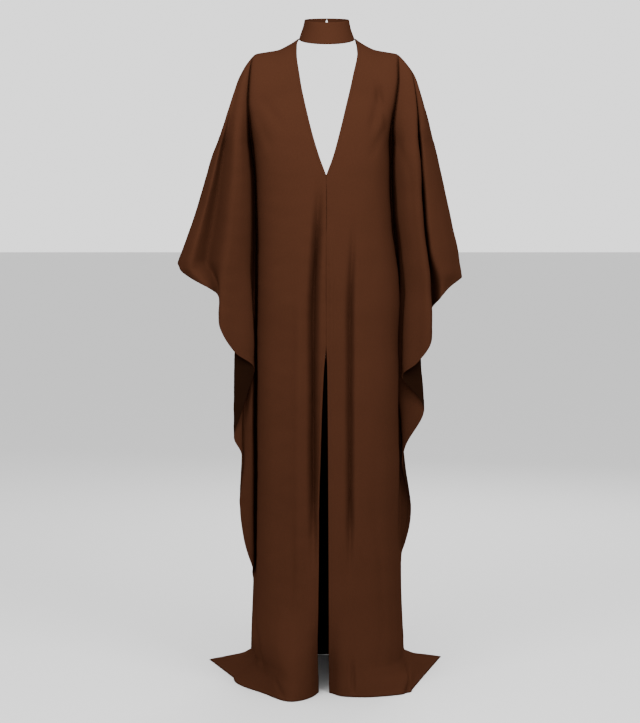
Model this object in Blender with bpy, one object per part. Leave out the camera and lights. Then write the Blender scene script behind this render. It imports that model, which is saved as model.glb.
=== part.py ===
"""Floor-length kaftan with cape sleeves and a stand collar, filled out as on a general figure.

Left and right are the viewer's. The front looks along -Y, up is +Z, and the origin lies
between the two neck points, where the shoulders carry the garment. Heights in the tables
are above the floor. Four panels, each cut in one with its half of a sleeve, meet in the
shoulder and over-arm seam, in the stitch line that parts body from sleeve, and in the
side seam below it. The free edge of each sleeve falls in a cascade of folds.
"""

from collections import namedtuple

import bmesh
import bpy
import numpy as np

# Cloth and seams, in metres
WALL = 0.002
SEAM_GAP = 0.0003
FLOOR = 0.0

# The stand collar: half widths at its lower and upper edge, heights at its sides
COLLAR_WALL = 0.0024
COLLAR_CENTRE = 0.0018
COLLAR_LOW_RADIUS = 0.0644
COLLAR_TOP_RADIUS = 0.0510
COLLAR_LOW_HEIGHT = 1.5035
COLLAR_TOP_HEIGHT = 1.5500
COLLAR_LOW_SLOPE = 0.20
COLLAR_TOP_SLOPE = 0.17
COLLAR_OPENING = 0.004
COLLAR_STEPS = 40

# Neck points, shoulders and openings
NECK_HEIGHT = 1.505
NECK_LEFT = COLLAR_LOW_RADIUS - COLLAR_CENTRE + COLLAR_WALL / 2 + SEAM_GAP
NECK_RIGHT = COLLAR_LOW_RADIUS + COLLAR_CENTRE + COLLAR_WALL / 2 + SEAM_GAP
SHOULDER_DROP = 0.071
SHOULDER_LEVEL = 1.15
SHOULDER_ROUND = 0.32
SHOULDER_BOW = 0.88
SHOULDER_DEEP = 1.390
FRONT_APEX = 1.183
BACK_APEX = 1.100
SLIT_TOP = 0.790
TAIL_TOP = 0.120
FOOT_BLEND = 0.04

# Grid of a panel: rows round the shoulder, above and below the hem, with one more row
# wherever the free edge meets a fold, and columns as shares of the body and of each fold
ROUND_ROWS = (0, 22, 44, 66)
PLAIN_ROWS = (
    1.390, 1.320, 1.250, 1.183, 1.110, 1.040, 0.655, 0.340, 0.170, 0.100, 0.060, 0.030,
    0.012, FLOOR,
)
BODY_SHARES = (
    0.00, 0.08, 0.124, 0.17, 0.215, 0.26, 0.34, 0.43, 0.52, 0.61, 0.70, 0.79, 0.87, 0.94, 1.00,
)
FOLD_STEPS = 2

# Where the front's edges and the centre run: half widths of the V, then of the slit
Edge = namedtuple("Edge", "height front_left front_right back_left back_right")
EDGES = (
    Edge(1.505, NECK_LEFT, NECK_RIGHT, NECK_LEFT, NECK_RIGHT),
    Edge(1.490, 0.0680, 0.0715, 0.0725, 0.0725),
    Edge(1.470, 0.0682, 0.0722, 0.0745, 0.0745),
    Edge(1.414, 0.0610, 0.0617, 0.0710, 0.0710),
    Edge(1.383, 0.0558, 0.0550, 0.0665, 0.0665),
    Edge(1.336, 0.0455, 0.0438, 0.0580, 0.0580),
    Edge(1.273, 0.0300, 0.0285, 0.0430, 0.0430),
    Edge(1.227, 0.0160, 0.0160, 0.0310, 0.0310),
    Edge(FRONT_APEX, 0.0, 0.0, 0.0200, 0.0200),
    Edge(BACK_APEX, 0.0, 0.0, 0.0, 0.0),
    Edge(SLIT_TOP, 0.0, 0.0, 0.0, 0.0),
    Edge(0.720, 0.0052, 0.0014, 0.0, 0.0),
    Edge(0.579, 0.0115, 0.0020, 0.0, 0.0),
    Edge(0.300, 0.0165, 0.0030, 0.0, 0.0),
    Edge(0.090, 0.0200, 0.0040, 0.0, 0.0),
    Edge(FLOOR, 0.0185, 0.0060, 0.0, 0.0),
)

# The line that parts body and sleeve, then the side seam and its tail on the floor
Side = namedtuple("Side", "height left right")
SIDES = (
    Side(1.505, 0.172, 0.168),
    Side(1.450, 0.179, 0.168),
    Side(1.400, 0.182, 0.163),
    Side(1.300, 0.178, 0.154),
    Side(1.183, 0.168, 0.154),
    Side(1.090, 0.165, 0.157),
    Side(1.000, 0.163, 0.167),
    Side(0.890, 0.163, 0.176),
    Side(0.780, 0.165, 0.173),
    Side(0.660, 0.166, 0.175),
    Side(0.500, 0.167, 0.177),
    Side(0.234, 0.172, 0.178),
    Side(0.100, 0.178, 0.184),
    Side(0.060, 0.190, 0.193),
    Side(0.040, 0.205, 0.208),
    Side(0.020, 0.237, 0.240),
    Side(FLOOR, 0.286, 0.285),
)

# How far the tail's ridge runs back for each metre that it runs out
Tail = namedtuple("Tail", "left right")
TAIL_SWEEP = Tail(1.38, 1.76)

# How far the cloth stands from the parting plane at the centre, crease and sleeve, and
# half the width of the crease between body and sleeve
Depth = namedtuple("Depth", "height front back crease gap sleeve")
DEPTHS = (
    Depth(1.505, 0.072, 0.060, 0.048, 0.003, 0.062),
    Depth(1.390, 0.080, 0.088, 0.052, 0.004, 0.074),
    Depth(1.320, 0.100, 0.104, 0.030, 0.006, 0.080),
    Depth(1.260, 0.114, 0.110, 0.0012, 0.007, 0.081),
    Depth(1.183, 0.125, 0.114, 0.0012, 0.007, 0.080),
    Depth(1.070, 0.130, 0.117, 0.0012, 0.005, 0.078),
    Depth(0.890, 0.139, 0.126, 0.0012, 0.004, 0.074),
    Depth(0.569, 0.154, 0.144, 0.0012, 0.004, 0.070),
    Depth(0.234, 0.168, 0.164, 0.0012, 0.003, 0.070),
    Depth(0.160, 0.172, 0.170, 0.0, 0.002, 0.070),
    Depth(0.100, 0.175, 0.176, 0.0, 0.002, 0.070),
    Depth(0.040, 0.181, 0.192, 0.0, 0.002, 0.070),
    Depth(FLOOR, 0.188, 0.205, 0.0, 0.002, 0.070),
)

# The body's flank: how far in from the side it lies, and its depth in each panel
Flank = namedtuple(
    "Flank", "height left_in right_in front_left front_right back_left back_right"
)
FLANKS = (
    Flank(1.505, 0.0, 0.0, 0.054, 0.054, 0.054, 0.054),
    Flank(1.390, 0.0, 0.0, 0.058, 0.058, 0.058, 0.058),
    Flank(1.320, 0.0, 0.0, 0.038, 0.038, 0.038, 0.038),
    Flank(1.260, 0.0, 0.0, 0.012, 0.012, 0.012, 0.012),
    Flank(0.234, 0.0, 0.0, 0.012, 0.012, 0.012, 0.012),
    Flank(0.120, 0.0, 0.0, 0.018, 0.022, 0.020, 0.020),
    Flank(0.060, 0.010, 0.008, 0.028, 0.050, 0.060, 0.060),
    Flank(0.030, 0.028, 0.030, 0.038, 0.090, 0.130, 0.140),
    Flank(FLOOR, 0.068, 0.088, 0.047, 0.143, 0.210, 0.235),
)

# The over-arm line from the shoulder tip to the wrist
Arm = namedtuple("Arm", "height left right")
ARMS = (
    Arm(1.434, 0.1890, 0.1900),
    Arm(1.406, 0.2050, 0.2110),
    Arm(1.377, 0.2150, 0.2210),
    Arm(1.349, 0.2245, 0.2304),
    Arm(1.292, 0.2446, 0.2458),
    Arm(1.236, 0.2647, 0.2600),
    Arm(1.179, 0.2824, 0.2730),
    Arm(1.122, 0.3000, 0.2860),
    Arm(1.065, 0.3190, 0.2985),
    Arm(1.009, 0.3390, 0.3110),
    Arm(0.978, 0.3480, 0.3145),
    Arm(0.945, 0.3500, 0.3190),
    Arm(0.800, 0.3500, 0.3190),
)

# Points that the cloth passes from the body's flank out to the over-arm line. share and
# forward place each on the smooth sleeve. out and depth are where it hangs in the cascade,
# lean is how far out moves for each metre above the hem, the cascade opens from the height
# opens down to full, and hem is where the free edge meets it.
Fold = namedtuple("Fold", "share forward out lean depth opens full hem")
LEFT_FOLDS = {
    "seam": Fold(0.00, 0.00, 0.163, 0.00, 0.0012, 1.00, 0.90, 0.234),
    "inner_out": Fold(0.030, 0.30, 0.202, -0.05, 0.013, 1.00, 0.66, 0.403),
    "inner_in": Fold(0.042, 0.45, 0.182, 0.00, 0.026, 1.00, 0.70, 0.510),
    "middle_out": Fold(0.060, 0.60, 0.214, 0.00, 0.039, 1.02, 0.74, 0.582),
    "middle_in": Fold(0.090, 0.76, 0.167, 0.00, 0.052, 1.02, 0.80, 0.732),
    "ridge": Fold(0.27, 1.00, 0.212, 0.00, 0.070, 1.02, 0.84, 0.774),
    "outer_out": Fold(0.46, 0.90, 0.251, 0.00, 0.074, 1.04, 0.86, 0.832),
    "outer_in": Fold(0.60, 0.62, 0.244, 0.00, 0.054, 1.04, 0.90, 0.895),
    "cuff": Fold(0.80, 0.56, 0.290, 0.00, 0.040, 0.90, 0.80, 0.943),
    "rim": Fold(0.95, 0.30, 0.335, 0.00, 0.020, 0.90, 0.80, 0.968),
    "arm": Fold(1.00, 0.00, 0.350, 0.00, 0.001, 0.90, 0.80, 0.978),
}
RIGHT_FOLDS = {
    "seam": Fold(0.00, 0.00, 0.176, 0.00, 0.0012, 1.00, 0.90, 0.276),
    "inner_out": Fold(0.030, 0.30, 0.199, -0.12, 0.013, 1.00, 0.66, 0.409),
    "inner_in": Fold(0.042, 0.45, 0.184, 0.00, 0.026, 1.00, 0.70, 0.540),
    "middle_out": Fold(0.060, 0.60, 0.229, -0.05, 0.039, 1.02, 0.74, 0.639),
    "middle_in": Fold(0.090, 0.76, 0.178, 0.00, 0.052, 1.02, 0.80, 0.714),
    "ridge": Fold(0.30, 1.00, 0.212, 0.00, 0.070, 1.02, 0.84, 0.749),
    "outer_out": Fold(0.50, 0.98, 0.244, 0.00, 0.074, 1.04, 0.86, 0.798),
    "outer_in": Fold(0.58, 0.50, 0.248, 0.00, 0.036, 1.04, 0.88, 0.864),
    "cuff": Fold(0.68, 0.70, 0.272, 0.00, 0.040, 0.90, 0.80, 0.898),
    "rim": Fold(0.86, 0.48, 0.296, 0.00, 0.020, 0.90, 0.80, 0.921),
    "arm": Fold(1.00, 0.00, 0.319, 0.00, 0.001, 0.90, 0.80, 0.945),
}

# Long soft folds of the body: place across and size, where each starts and ends
Crease = namedtuple("Crease", "panel out_top out_low width depth top full_top full_low low")
CREASES = (
    Crease("front_left", 0.020, 0.031, 0.011, 0.022, 1.170, 1.050, 0.600, 0.250),
    Crease("front_left", 0.100, 0.108, 0.030, 0.006, 0.900, 0.700, 0.350, 0.120),
    Crease("front_right", 0.058, 0.052, 0.014, 0.014, 1.120, 0.980, 0.500, 0.200),
    Crease("front_right", 0.126, 0.100, 0.016, 0.005, 1.420, 1.380, 1.340, 1.270),
    Crease("back_left", 0.052, 0.062, 0.015, 0.015, 1.080, 0.950, 0.500, 0.200),
    Crease("back_left", 0.118, 0.112, 0.022, 0.007, 1.000, 0.800, 0.300, 0.120),
    Crease("back_right", 0.034, 0.044, 0.013, 0.018, 1.060, 0.900, 0.450, 0.160),
    Crease("back_right", 0.120, 0.106, 0.026, 0.007, 0.850, 0.650, 0.300, 0.100),
)

# How square the body's section is, from an ellipse at 2 up, and its depth for its width
SQUARENESS = {"front_left": 3.2, "front_right": 2.8, "back_left": 2.6, "back_right": 2.7}
SECTION_ASPECT = 0.75
SECTION_STEPS = 400

# Near the floor the fronts swell forwards, and their corners at the slit lie back
Swell = namedtuple("Swell", "place width rise corner")
SWELLS = {
    "front_left": Swell(0.085, 0.050, 0.045, 0.075),
    "front_right": Swell(0.110, 0.060, 0.004, 0.034),
}
SWELL_TOP = 0.30
CORNER_WIDTH = 0.024

# Hook and eye of the collar, of round wire
WIRE = 0.0005
EYE_WIDTH = 0.0040
EYE_LENGTH = 0.0090
FASTENER_HEIGHT = 1.536


def smooth_read(places, values, at):
    """Reads values at any place, on a smooth curve through them that never overshoots."""
    places = np.asarray(places, float)
    values = np.asarray(values, float)
    if places[0] > places[-1]:
        places, values = places[::-1], values[::-1]
    steps = np.diff(places)
    rises = np.diff(values) / steps
    slopes = np.zeros_like(values)
    slopes[0], slopes[-1] = rises[0], rises[-1]
    product = rises[:-1] * rises[1:]
    total = rises[:-1] + rises[1:]
    slopes[1:-1] = np.where(product > 0, 2 * product / np.where(total == 0, 1, total), 0)
    i = np.clip(np.searchsorted(places, at) - 1, 0, len(places) - 2)
    t = np.clip((at - places[i]) / steps[i], 0, 1)
    start, end = values[i], values[i + 1]
    lean_start, lean_end = slopes[i] * steps[i], slopes[i + 1] * steps[i]
    return (
        start * (1 + 2 * t) * (1 - t) ** 2
        + end * (3 - 2 * t) * t**2
        + lean_start * t * (1 - t) ** 2
        - lean_end * (1 - t) * t**2
    )


def column(rows, name, height):
    """One named column of a table at any height."""
    return smooth_read([r.height for r in rows], [getattr(r, name) for r in rows], height)


def ramp(value, start, end):
    """Goes softly from 0 at start to 1 at end."""
    t = np.clip((value - start) / (end - start), 0, 1)
    return t * t * (3 - 2 * t)


def through(points, places):
    """Points on a curve through the knots of each row, at places counted in knots."""
    last = points.shape[1] - 1
    leans = np.empty_like(points)
    leans[:, 1:-1] = (points[:, 2:] - points[:, :-2]) / 2
    leans[:, 0] = points[:, 1] - points[:, 0]
    leans[:, -1] = points[:, -1] - points[:, -2]
    i = np.clip(places.astype(int), 0, last - 1)
    t = (places - i)[..., None]
    row = np.arange(points.shape[0])[:, None]
    start, end = points[row, i], points[row, i + 1]
    return (
        start * (1 + 2 * t) * (1 - t) ** 2
        + end * (3 - 2 * t) * t**2
        + leans[row, i] * t * (1 - t) ** 2
        - leans[row, i + 1] * (1 - t) * t**2
    )


def shoulder_round(height):
    """How far the cloth has come over the round of the shoulder, 0 on the seam."""
    up = np.clip((height - SHOULDER_DEEP) / (NECK_HEIGHT - SHOULDER_DEEP), 0, 1)
    return np.sqrt(1 - up**2)


def parting(out, height, side):
    """Depth of the surface on which front and back meet, bent back along the tail."""
    ridge = column(SIDES, side, TAIL_TOP)
    sweep = getattr(TAIL_SWEEP, side)
    return np.where(height < TAIL_TOP, np.maximum(out - ridge, 0) * sweep, 0.0)


def creased(panel, out, height):
    """How far the body's soft folds draw the cloth in."""
    total = np.zeros(np.broadcast(out, height).shape)
    for c in CREASES:
        if c.panel == panel:
            middle = c.out_low + (c.out_top - c.out_low) * ramp(height, c.low, c.top)
            fade = ramp(height, c.top, c.full_top) * ramp(height, c.low, c.full_low)
            total += c.depth * fade * np.exp(-(((out - middle) / c.width) ** 2))
    return total


def hem_swell(panel, out, height):
    """How far a front's hem swells forwards, less where its corner lies back."""
    if panel not in SWELLS:
        return 0.0
    swell = SWELLS[panel]
    low = 1 - ramp(height, FLOOR, SWELL_TOP)
    rise = swell.rise * np.exp(-(((out - swell.place) / swell.width) ** 2))
    corner = swell.corner * np.exp(-((out / CORNER_WIDTH) ** 2))
    return low**2 * (rise - corner)


def section_arc(squareness, shares):
    """Shares of the width and depth at even runs along the body's rounded section."""
    turn = np.linspace(0, np.pi / 2, SECTION_STEPS)
    power = 2 / squareness
    out = np.sin(turn) ** power
    forward = np.maximum(np.cos(turn), 0) ** power
    steps = np.hypot(np.diff(out), np.diff(forward) * SECTION_ASPECT)
    run = np.concatenate([[0], np.cumsum(steps)])
    at = np.asarray(shares) * run[-1]
    return np.interp(at, run, out), np.interp(at, run, forward)


def body_points(panel, heights, shares):
    """Distance out and depth of the body, from its inner edge (share 0) to its flank (1)."""
    face, side = panel.split("_")
    edge = column(EDGES, panel, heights)
    inward = column(DEPTHS, "gap", heights) + column(FLANKS, side + "_in", heights)
    flank = column(SIDES, side, heights) - inward
    over = shoulder_round(heights)
    flank_depth = column(FLANKS, panel, heights) * over
    full = column(DEPTHS, face, heights) * over
    across, forward = section_arc(SQUARENESS[panel], shares)
    out = edge + (flank - edge) * across
    depth = flank_depth + (full - flank_depth) * forward
    relief = hem_swell(panel, out, heights) - creased(panel, out, heights)
    return out, depth + relief * forward**0.5


def fold_points(panel, heights):
    """Knots of the cloth from the flank to the over-arm line, for each row."""
    face, side = panel.split("_")
    folds = LEFT_FOLDS if side == "left" else RIGHT_FOLDS
    seam = column(SIDES, side, heights)
    over = shoulder_round(heights)
    sleeve = column(DEPTHS, "sleeve", heights) * over
    crease = column(DEPTHS, "crease", heights) * over
    drop = SHOULDER_DROP * ramp(heights, SHOULDER_LEVEL, NECK_HEIGHT)
    arm = column(ARMS, side, heights - drop)
    flank_out, flank_depth = body_points(panel, heights, np.ones(1))
    knots = [np.concatenate([flank_out, flank_depth], axis=1)]
    seam_depth = parting_depth(face, seam, heights, side) + crease
    for name, fold in folds.items():
        open_by = ramp(heights, fold.opens, fold.full)
        out = seam + (arm - seam) * fold.share
        hang = fold.out + fold.lean * (heights - fold.hem)
        depth = crease + (sleeve - crease) * fold.forward
        if name == "arm":
            depth = np.zeros_like(depth)
        if name == "seam":
            depth, open_by = seam_depth, np.zeros_like(open_by)
        out = out + (hang - out) * open_by
        depth = depth + (fold.depth - depth) * open_by
        knots.append(np.concatenate([out, depth], axis=1))
    knots = np.stack(knots, axis=1)
    foot = folds["seam"].hem
    below = ramp(heights, foot + FOOT_BLEND, foot)[..., None]
    straight_on = 2 * knots[:, 1:2] - knots[:, 0:1]
    knots[:, 2:] += (straight_on - knots[:, 2:]) * below
    return knots


def parting_depth(face, out, height, side):
    """The parting surface's depth, counted outwards from the panel's own side."""
    back = parting(out, height, side)
    return -back if face == "front" else back


def free_edge(panel, heights):
    """How many knots the cloth reaches at each height before its free edge."""
    folds = LEFT_FOLDS if panel.endswith("left") else RIGHT_FOLDS
    hems = [f.hem for f in folds.values()]
    reach = np.arange(1, len(hems) + 1)
    return smooth_read(hems, reach, heights)


def panel_points(panel, heights, body_shares, fold_places):
    """The panel's middle surface as a grid of points in world space."""
    face, side = panel.split("_")
    heights = np.asarray(heights, float)[:, None]
    out, depth = body_points(panel, heights, body_shares)
    places = np.minimum(np.asarray(fold_places)[None, :], free_edge(panel, heights))
    folded = through(fold_points(panel, heights), places)
    out = np.concatenate([out, folded[..., 0]], axis=1)
    depth = np.concatenate([depth, folded[..., 1]], axis=1)
    edge = out[:, :1]
    drop = SHOULDER_DROP * ramp(heights, SHOULDER_LEVEL, NECK_HEIGHT)
    arm = column(ARMS, side, heights - drop)
    across = np.clip((out - edge) / (arm - edge), 0, 1)
    rounding = SHOULDER_ROUND * ramp(heights, SHOULDER_DEEP, NECK_HEIGHT)
    fall = (1 - rounding) * across**SHOULDER_BOW + rounding * (1 - np.sqrt(1 - across**8))
    x = out * (-1 if side == "left" else 1)
    y = depth * (-1 if face == "front" else 1)
    z = heights - drop * fall - NECK_HEIGHT
    return np.stack([x, y, z], axis=-1)


def keep_apart(panel, point):
    """Moves a point of a panel's wall back to its own side of the seams and the floor."""
    face, side = panel.split("_")
    x, y, z = point
    sign = -1 if side == "left" else 1
    half = SEAM_GAP / 2
    x = sign * max(sign * x, half)
    border = float(parting(abs(x), z + NECK_HEIGHT, side))
    slant = half * (1 + getattr(TAIL_SWEEP, side) ** 2) ** 0.5 if border else half
    y = min(y, border - slant) if face == "front" else max(y, border + slant)
    return x, y, max(z, FLOOR - NECK_HEIGHT)


def sheet_mesh(points):
    """An open sheet through a grid of points, with the points that coincide merged."""
    sheet = bmesh.new()
    grid = [[sheet.verts.new(p) for p in row] for row in points]
    for upper, lower in zip(grid[:-1], grid[1:]):
        for a, b, c, d in zip(upper[:-1], upper[1:], lower[1:], lower[:-1]):
            sheet.faces.new((a, b, c, d))
    bmesh.ops.remove_doubles(sheet, verts=sheet.verts[:], dist=0.00002)
    bmesh.ops.dissolve_degenerate(sheet, edges=sheet.edges[:], dist=0.00002)
    sheet.normal_update()
    return sheet


def thick_wall(sheet, thickness, outward):
    """Gives a sheet its thickness: one face each way, joined by a rim round its border."""
    wall = bmesh.new()
    sides = []
    for step in (0.5, -0.5):
        offset = thickness * step * outward
        sides.append({v: wall.verts.new(v.co + v.normal * offset) for v in sheet.verts})
    outer, inner = sides
    for face in sheet.faces:
        loop = list(face.verts)
        if outward < 0:
            loop.reverse()
        wall.faces.new([outer[v] for v in loop])
        wall.faces.new([inner[v] for v in reversed(loop)])
    for face in sheet.faces:
        for edge_loop in face.loops:
            if edge_loop.edge.is_boundary:
                a, b = edge_loop.vert, edge_loop.link_loop_next.vert
                if outward < 0:
                    a, b = b, a
                wall.faces.new((outer[b], outer[a], inner[a], inner[b]))
    return wall


def plain_material(name, colour, roughness, metallic):
    """A material with the part's own colour."""
    made = bpy.data.materials.new(name)
    made.use_nodes = True
    shader = made.node_tree.nodes["Principled BSDF"]
    shader.inputs["Base Color"].default_value = (*colour, 1)
    shader.inputs["Roughness"].default_value = roughness
    shader.inputs["Metallic"].default_value = metallic
    return made


def add_object(name, mesh, material):
    """Turns a bmesh into a smooth object of the scene."""
    data = bpy.data.meshes.new(name)
    mesh.to_mesh(data)
    mesh.free()
    data.materials.append(material)
    data.shade_smooth()
    made = bpy.data.objects.new(name, data)
    bpy.context.scene.collection.objects.link(made)
    return made


def make_panel(panel, cloth):
    """One panel with its half of the sleeve, as a closed wall."""
    folds = LEFT_FOLDS if panel.endswith("left") else RIGHT_FOLDS
    rise = NECK_HEIGHT - SHOULDER_DEEP
    heights = [SHOULDER_DEEP + rise * np.cos(np.radians(a)) for a in ROUND_ROWS]
    heights += PLAIN_ROWS + tuple(f.hem for f in folds.values())
    heights.sort(reverse=True)
    fold_places = np.linspace(0, len(folds), len(folds) * FOLD_STEPS + 1)[1:]
    points = panel_points(panel, heights, BODY_SHARES, fold_places)
    sheet = sheet_mesh(points)
    outward = 1 if panel in ("front_right", "back_left") else -1
    wall = thick_wall(sheet, WALL, outward)
    sheet.free()
    for v in wall.verts:
        v.co = keep_apart(panel, v.co)
    bmesh.ops.triangulate(wall, faces=wall.faces[:])
    return add_object(panel, wall, cloth)


def collar_point(turn, rise, outward):
    """A point of the collar: turn round it from the back, rise from its lower edge."""
    radius = COLLAR_LOW_RADIUS + (COLLAR_TOP_RADIUS - COLLAR_LOW_RADIUS) * rise + outward
    x = radius * np.sin(turn)
    y = radius * np.cos(turn)
    low = COLLAR_LOW_HEIGHT + COLLAR_LOW_SLOPE * y
    top = COLLAR_TOP_HEIGHT + COLLAR_TOP_SLOPE * y
    return COLLAR_CENTRE + x, y, low + (top - low) * rise - NECK_HEIGHT


def make_collar(cloth):
    """The stand collar, a band of one wall, open at the centre back."""
    band = bmesh.new()
    start = COLLAR_OPENING / 2 / COLLAR_TOP_RADIUS
    turns = np.linspace(start, 2 * np.pi - start, COLLAR_STEPS + 1)
    half = COLLAR_WALL / 2
    corners = ((0, half), (0.5, half), (1, half), (1, -half), (0.5, -half), (0, -half))
    rings = [[band.verts.new(collar_point(t, r, o)) for r, o in corners] for t in turns]
    for first, second in zip(rings[:-1], rings[1:]):
        for k in range(len(corners)):
            after = (k + 1) % len(corners)
            band.faces.new((first[k], second[k], second[after], first[after]))
    band.faces.new(rings[0])
    band.faces.new(rings[-1][::-1])
    bmesh.ops.recalc_face_normals(band, faces=band.faces[:])
    bmesh.ops.triangulate(band, faces=band.faces[:])
    return add_object("collar", band, cloth)


def inside_collar(along, up, inward):
    """A point near the collar's opening: along the band, up it, and in from its inner face."""
    mean_height = COLLAR_LOW_HEIGHT + COLLAR_LOW_SLOPE * COLLAR_LOW_RADIUS
    top_height = COLLAR_TOP_HEIGHT + COLLAR_TOP_SLOPE * COLLAR_TOP_RADIUS
    rise = (FASTENER_HEIGHT + up - mean_height) / (top_height - mean_height)
    turn = along / COLLAR_TOP_RADIUS
    return collar_point(turn, rise, -COLLAR_WALL / 2 - inward)


def make_wire(name, points, metal):
    """A round wire through the points, with closed ends."""
    data = bpy.data.curves.new(name, "CURVE")
    data.dimensions = "3D"
    data.bevel_depth = WIRE
    data.bevel_resolution = 2
    data.use_fill_caps = True
    spline = data.splines.new("POLY")
    spline.points.add(len(points) - 1)
    for spot, point in zip(spline.points, points):
        spot.co = (*point, 1)
    data.materials.append(metal)
    made = bpy.data.objects.new(name, data)
    bpy.context.scene.collection.objects.link(made)
    return made


def make_fastener(metal):
    """The eye lies flat inside the collar's right end and the hook catches it from the left."""
    lie = WIRE + SEAM_GAP
    half = EYE_WIDTH / 2
    eye = [(EYE_LENGTH, half, lie), (EYE_LENGTH / 2, half, lie), (half, half, lie)]
    for angle in range(30, 180, 30):
        lift = half * np.cos(np.radians(angle))
        reach = half * np.sin(np.radians(angle))
        eye.append((half - reach, lift, lie))
    eye += [(half, -half, lie), (EYE_LENGTH / 2, -half, lie), (EYE_LENGTH, -half, lie)]
    over = lie + 2 * WIRE + SEAM_GAP
    hook = [
        (-EYE_LENGTH, 0, lie),
        (-half - 2 * WIRE, 0, lie),
        (-half, 0, over - WIRE),
        (-WIRE, 0, over),
        (half - WIRE, 0, over),
        (half + WIRE / 2, 0, over - WIRE),
        (half + WIRE, 0, lie + WIRE),
    ]
    make_wire("collar_eye", [inside_collar(*p) for p in eye], metal)
    make_wire("collar_hook", [inside_collar(*p) for p in hook], metal)


def main():
    for old in list(bpy.data.objects):
        bpy.data.objects.remove(old)
    crepe = plain_material("brown_crepe", (0.085, 0.030, 0.013), 0.85, 0.0)
    steel = plain_material("blackened_steel", (0.020, 0.015, 0.012), 0.40, 1.0)
    for panel in SQUARENESS:
        make_panel(panel, crepe)
    make_collar(crepe)
    make_fastener(steel)


main()
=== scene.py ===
"""Looks of the kaftan: chocolate crepe, sewn and turned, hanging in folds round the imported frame.

Left and right are the viewer's, the front looks along -Y and the origin lies between the neck
points. Heights in the tables are above the floor, in metres, as are all sizes.
"""

from collections import namedtuple

import bmesh
import bpy
import numpy as np
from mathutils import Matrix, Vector


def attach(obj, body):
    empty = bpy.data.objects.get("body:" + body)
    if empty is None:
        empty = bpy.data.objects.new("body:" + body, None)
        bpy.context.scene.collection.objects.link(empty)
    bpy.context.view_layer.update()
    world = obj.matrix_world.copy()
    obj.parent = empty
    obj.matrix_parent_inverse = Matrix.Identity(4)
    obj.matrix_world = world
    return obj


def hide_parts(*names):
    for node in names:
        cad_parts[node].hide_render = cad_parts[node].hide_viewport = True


# Seams and cloth
SEAM_GAP = 0.0003
NECK_LAP = 0.0012
CLOTH = 0.0012
HEM_CLOTH = 0.0021
HEM_WIDTH = 0.008
HEM_BLEND = 0.001
SEAM_ROLL = 0.0002
SEAM_ROLL_WIDTH = 0.0022
MERGE = 0.00002
FLOOR = 0.0

# The stand collar
COLLAR_WALL = 0.0024
COLLAR_CENTRE = 0.0018
COLLAR_LOW_RADIUS = 0.0644
COLLAR_TOP_RADIUS = 0.0510
COLLAR_LOW_HEIGHT = 1.5035
COLLAR_TOP_HEIGHT = 1.5500
COLLAR_LOW_SLOPE = 0.20
COLLAR_FRONT_SLOPE = 0.27
COLLAR_TOP_SLOPE = 0.175
COLLAR_DIP_SLOPE = 0.235
COLLAR_OPENING = 0.0048
COLLAR_CLOSED = 0.0004
COLLAR_CLOSES = (0.86, 0.92)
COLLAR_BOW = 0.0011
COLLAR_WAVE = 0.0007
COLLAR_WAVE_SIZE = 0.05
COLLAR_WAVE_SPAN = (0.06, 0.045)
COLLAR_WAVE_SEED = 41
COLLAR_EDGE = 0.35
COLLAR_ROUND = 0.0014
COLLAR_SPAN = 0.36
COLLAR_EDGE_STEPS = (0.0008, 0.0020, 0.0040)
COLLAR_RUNS = 264
COLLAR_RISES = (
    0.0, 0.02, 0.05, 0.10, 0.18, 0.28, 0.38, 0.48, 0.58, 0.68, 0.78, 0.84, 0.88, 0.91, 0.94, 0.965,
    0.985, 1.0,
)

# Stitches: how far in from a turned edge, their pitch and length, the thread's radius, and the
# share of it that stands proud
STITCH_IN = 0.0062
STITCH_PITCH = 0.0030
STITCH_LENGTH = 0.0024
THREAD = 0.00020
THREAD_PROUD = 0.3

# Colours, in sRGB. The reverse is painted shade: the same cloth, darker, as little light falls
# inside
CREPE_DARK, CREPE_LIGHT = "2a170e", "321c12"
PAINTED_SHADE_DARK, PAINTED_SHADE_LIGHT = "110804", "170b06"
THREAD_DARK, THREAD_LIGHT = "22120a", "2e1a10"
STEEL_DARK, STEEL_LIGHT = "1c1a19", "4a4643"
FLOOR_COLOUR = "bcbcbc"

# The studio: each soft box's place, target, side and power, then the room's strength
BOXES = (
    ("left_box", (-1.0, -1.5, 0.9), (0, 0, -0.2), 1.0, 61),
    ("right_box", (1.1, -1.5, 0.9), (0, 0, -0.2), 1.0, 67),
    ("front_box", (-0.1, -1.9, 0.3), (0, 0, -0.1), 0.9, 23),
    ("back_box", (0.6, 2.8, 0.9), (0, 0, -0.3), 1.6, 90),
)
ROOM = 1.7
FLOOR_HALF = 60.0
FLOOR_BELOW = 0.0005

# The camera: its focal length in the picture's pixels, its place and how far it looks down
SENSOR = 36.0
PICTURE_HEIGHT = 723
FOCAL_PIXELS = 1790.5
EYE = (-0.0142, -4.2185, -0.4294)
EYE_DOWN = 0.0374
SHIFT = -0.1

# Neck points, shoulders and openings
NECK_HEIGHT = 1.505
NECK_LEFT = COLLAR_LOW_RADIUS - COLLAR_CENTRE + COLLAR_WALL / 2 + SEAM_GAP
NECK_RIGHT = COLLAR_LOW_RADIUS + COLLAR_CENTRE + COLLAR_WALL / 2 + SEAM_GAP
SHOULDER_DROP = 0.071
SHOULDER_LEVEL = 1.15
SHOULDER_BOW = 0.88
SHOULDER_DEEP = 1.390
FRONT_APEX = 1.183
BACK_APEX = 1.100
SLIT_TOP = 0.797
TAIL_TOP = 0.120
FOOT_BLEND = 0.04

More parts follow.
